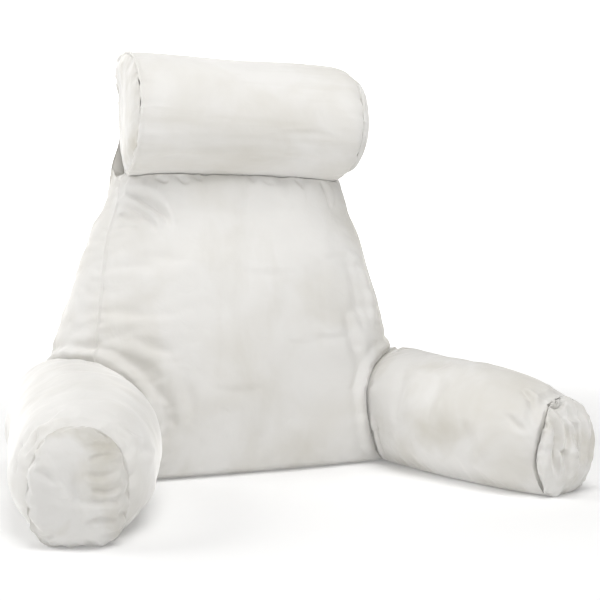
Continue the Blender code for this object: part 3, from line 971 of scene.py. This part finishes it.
def velour(name, tone=1.0, streak=(5.0, 5.0, 30.0), patch=7.0, crushed=0.35, seed=0.0):
    """Short-pile velour: patches where the pile lies differently, brush streaks, fine pile and soft sheen."""
    material = bpy.data.materials.new(name)
    material.use_nodes = True
    nodes, links = material.node_tree.nodes, material.node_tree.links
    shader = nodes["Principled BSDF"]
    set_inputs(shader, {"Metallic": 0.0, "Specular IOR Level": 0.12})
    set_inputs(shader, {"Sheen Weight": 1.0, "Sheen Roughness": 0.35, "Sheen Tint": (1.0, 0.99, 0.97, 1.0)})
    place = nodes.new("ShaderNodeTexCoord")

    def texture(scale, detail, stretch=(1.0, 1.0, 1.0), offset=0.0, distortion=0.0):
        mapping = nodes.new("ShaderNodeMapping")
        set_inputs(mapping, {"Scale": stretch, "Location": (offset, offset * 0.7, offset * 0.3)})
        links.new(place.outputs["Object"], mapping.inputs["Vector"])
        tex = nodes.new("ShaderNodeTexNoise")
        set_inputs(tex, {"Scale": scale, "Detail": detail, "Distortion": distortion})
        links.new(mapping.outputs["Vector"], tex.inputs["Vector"])
        return tex.outputs["Fac"]

    def spread(value, low, high, to_low, to_high):
        ranged = nodes.new("ShaderNodeMapRange")
        set_inputs(ranged, {"From Min": low, "From Max": high, "To Min": to_low, "To Max": to_high})
        links.new(value, ranged.inputs["Value"])
        return ranged.outputs["Result"]

    def mixed(factor, a, b):
        mix = nodes.new("ShaderNodeMix")
        mix.data_type = "RGBA"
        for socket, value in ((6, a), (7, b)):
            if isinstance(value, tuple):
                mix.inputs[socket].default_value = (*value, 1.0)
            else:
                links.new(value, mix.inputs[socket])
        links.new(factor, mix.inputs[0])
        return mix.outputs[2]

    light = tuple(min(1.0, c * 1.035 * tone) for c in IVORY)
    base = tuple(c * tone for c in IVORY)
    shade = tuple(c * tone * k for c, k in zip(IVORY, (0.905, 0.895, 0.865)))
    pressed = tuple(c * tone * k for c, k in zip(IVORY, (0.770, 0.742, 0.665)))
    patches = texture(patch, 3.0, offset=seed, distortion=0.6)
    streaks = texture(1.0, 4.0, stretch=streak, offset=seed + 3.0)
    crushing = texture(patch * 1.4, 3.5, offset=seed + 5.0, distortion=0.5)
    colour = mixed(spread(patches, 0.38, 0.68, 0.0, 1.0), base, light)
    colour = mixed(spread(streaks, 0.52, 0.72, 0.0, 0.75), colour, shade)
    colour = mixed(spread(crushing, 0.44, 0.80, 0.0, crushed), colour, pressed)
    links.new(colour, shader.inputs["Base Color"])
    links.new(spread(patches, 0.3, 0.7, 0.78, 0.92), shader.inputs["Roughness"])
    pile = nodes.new("ShaderNodeBump")
    set_inputs(pile, {"Strength": 0.16, "Distance": 0.0006})
    links.new(texture(900.0, 2.0), pile.inputs["Height"])
    crush = nodes.new("ShaderNodeBump")
    set_inputs(crush, {"Strength": 0.50, "Distance": 0.0022})
    links.new(texture(38.0, 4.0, offset=seed, distortion=0.8), crush.inputs["Height"])
    links.new(pile.outputs["Normal"], crush.inputs["Normal"])
    links.new(crush.outputs["Normal"], shader.inputs["Normal"])
    return material


def flat_cloth(name, colour, roughness):
    material = bpy.data.materials.new(name)
    material.use_nodes = True
    shader = material.node_tree.nodes["Principled BSDF"]
    set_inputs(shader, {"Base Color": (*colour, 1.0), "Roughness": roughness, "Specular IOR Level": 0.1})
    return material


def finish_piece(obj, material, node):
    obj.data.materials.clear()
    obj.data.materials.append(material)
    obj.data.shade_smooth()
    attribute = obj.data.attributes.get("cut")
    if attribute:
        obj.data.attributes.remove(attribute)
    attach(obj, "root")
    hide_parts(node)


# ---- assembly

SIDES = (("left", -1), ("right", 1))
arms = {side: make_arm(f"arm_{name}_cover", side) for name, side in SIDES}
arm_ends = {side: make_arm_end(f"arm_end_{name}_panel", side) for name, side in SIDES}
roll = make_roll("neck_roll_cover")
roll_ends = {side: make_roll_end(f"roll_end_{name}_panel", side) for name, side in SIDES}
back = make_back("back_cushion_cover")

for side, arm in arms.items():
    dress_arm(arm, side)
    fold_arm_end(arm_ends[side], side)
    dress_end_panel(arm_ends[side], 0.055, 0.0030, 71 + side, side)
    dress_end_panel(roll_ends[side], ROLL_RADIUS, 0.0016, 81 + side)
dress_roll(roll)
slump_left_end(roll, 0.0)
slump_left_end(roll_ends[-1], 0.0045)
for side, arm in arms.items():
    press_seam(arm, back, 0.007, 0.0050, 91 + side)
dress_back(back, roll, arms)
keep_clear(back, [roll, roll_ends[-1]])
band, band_length = make_band("roll_band_cloth", roll, back)
for side, arm in arms.items():
    keep_clear(arm_ends[side], [arm], gap=SEWN_GAP)
    keep_clear(roll_ends[side], [roll], gap=SEWN_GAP)

VELOURS = {  # which way the pile was brushed, how patchy and how crushed it is, and how light it is made overall (tone)
    "back": dict(streak=(15.0, 9.0, 4.0), crushed=0.40, seed=1.0),
    "left_arm": dict(tone=1.03, streak=(9.0, 6.0, 14.0), patch=9.0, crushed=0.35, seed=4.0),
    "right_arm": dict(streak=(9.0, 6.0, 14.0), patch=8.0, crushed=0.80, seed=4.0),
    # The end panels' velour is darkened by its tone, which is painted shade. The right arm's end panel takes
    # a copy of it that is kept lighter, which is painted light where the lamps reach it less.
    "end": dict(tone=0.945, streak=(14.0, 14.0, 26.0), patch=13.0, crushed=0.95, seed=7.0),
    "right_end_lit": dict(tone=1.0, streak=(14.0, 14.0, 26.0), patch=13.0, crushed=0.80, seed=8.0),
    "roll": dict(streak=(4.0, 22.0, 34.0), crushed=0.50, seed=9.0),
}
soft = {name: velour(f"velour_{name}", **look) for name, look in VELOURS.items()}
finish_piece(back, soft["back"], "back_cushion")
for name, side in SIDES:
    # The arm ends take lit and shaded copies of one velour: painted light on the right one, painted shade on
    # the left one.
    panel = soft["right_end_lit" if side > 0 else "end"]
    finish_piece(arms[side], soft[f"{name}_arm"], f"arm_{name}")
    finish_piece(arm_ends[side], panel, f"arm_end_{name}")
    finish_piece(roll_ends[side], soft["end"], f"roll_end_{name}")
finish_piece(roll, soft["roll"], "neck_roll")
finish_piece(band, soft["back"], "roll_band")

# ---- floor, light and camera


def glowing_paper(name, colour, glow):
    """White paper bright enough to stay white behind the object, whatever the lights do."""
    material = flat_cloth(name, colour, 0.9)
    shader = material.node_tree.nodes["Principled BSDF"]
    set_inputs(shader, {"Emission Color": (1.0, 1.0, 1.0, 1.0), "Emission Strength": glow})
    return material


def add_sheet(name, points, material):
    mesh = bpy.data.meshes.new(name)
    mesh.from_pydata(points, [], [(0, 1, 2, 3)])
    mesh.materials.append(material)
    add_object(name, mesh)


def brighten_far(material, near, far, glow):
    """Raises a paper's own glow from a little near the object to its full value further off."""
    nodes, links = material.node_tree.nodes, material.node_tree.links
    place = nodes.new("ShaderNodeTexCoord")
    length = nodes.new("ShaderNodeVectorMath")
    length.operation = "LENGTH"
    ramp = nodes.new("ShaderNodeMapRange")
    ramp.interpolation_type = "SMOOTHSTEP"
    set_inputs(ramp, {"From Min": near, "From Max": far, "To Min": 0.12, "To Max": glow})
    links.new(place.outputs["Object"], length.inputs[0])
    links.new(length.outputs["Value"], ramp.inputs["Value"])
    links.new(ramp.outputs["Result"], nodes["Principled BSDF"].inputs["Emission Strength"])


floor_paper = glowing_paper("floor_paper", (0.88, 0.88, 0.88), 0.0)
brighten_far(floor_paper, near=0.5, far=2.4, glow=0.9)
add_sheet("floor", [(-9, -4, 0), (9, -4, 0), (9, 7, 0), (-9, 7, 0)], floor_paper)
backdrop_paper = glowing_paper("backdrop_paper", (0.9, 0.9, 0.9), 1.0)
add_sheet("backdrop", [(-9, 7, 0), (9, 7, 0), (9, 7, 6), (-9, 7, 6)], backdrop_paper)


def aim(obj, target):
    obj.rotation_mode = "QUATERNION"
    obj.rotation_quaternion = (Vector(target) - obj.location).to_track_quat("-Z", "Y")


def area_light(name, place, target, size, watts):
    light = bpy.data.lights.new(name, "AREA")
    light.shape = "DISK"
    light.size, light.energy = size, watts
    obj = add_object(name, light)
    obj.location = place
    aim(obj, target)


world = bpy.data.worlds.new("studio")
bpy.context.scene.world = world
world.use_nodes = True
set_inputs(world.node_tree.nodes["Background"], {"Color": (1.0, 0.98, 0.95, 1.0), "Strength": 0.22})
area_light("key", (-0.9, -2.6, 0.65), (0.0, 0.0, 0.25), 1.3, 11.0)
area_light("top", (0.0, -0.9, 2.10), (0.0, 0.0, 0.1), 1.5, 30.0)
area_light("side", (-1.9, 0.6, 1.50), (0.0, 0.0, 0.2), 1.2, 17.0)
bpy.context.scene.view_settings.view_transform = "Standard"

CAMERA_AZIMUTH, CAMERA_ELEVATION, CAMERA_DISTANCE = math.radians(23.3), math.radians(2.07), 1.5
CAMERA_AIM = (0.0935, 0.2303)  # to the right of the middle as the camera sees it, and up
SENSOR_WIDTH, LENS = 36.0, 63.2  # in millimetres

camera_data = bpy.data.cameras.new("camera")
camera = add_object("camera", camera_data)
bpy.context.scene.camera = camera
sideways, height = CAMERA_AIM
turn_x, turn_y = math.sin(CAMERA_AZIMUTH), math.cos(CAMERA_AZIMUTH)
target = Vector((sideways * turn_y, SHIFT_Y - sideways * turn_x, height))
level = math.cos(CAMERA_ELEVATION)
looking = Vector((turn_x * level, turn_y * level, -math.sin(CAMERA_ELEVATION)))
camera.location = target - looking * CAMERA_DISTANCE
aim(camera, target)
camera_data.sensor_width, camera_data.lens = SENSOR_WIDTH, LENS
camera_data.clip_start = 0.05
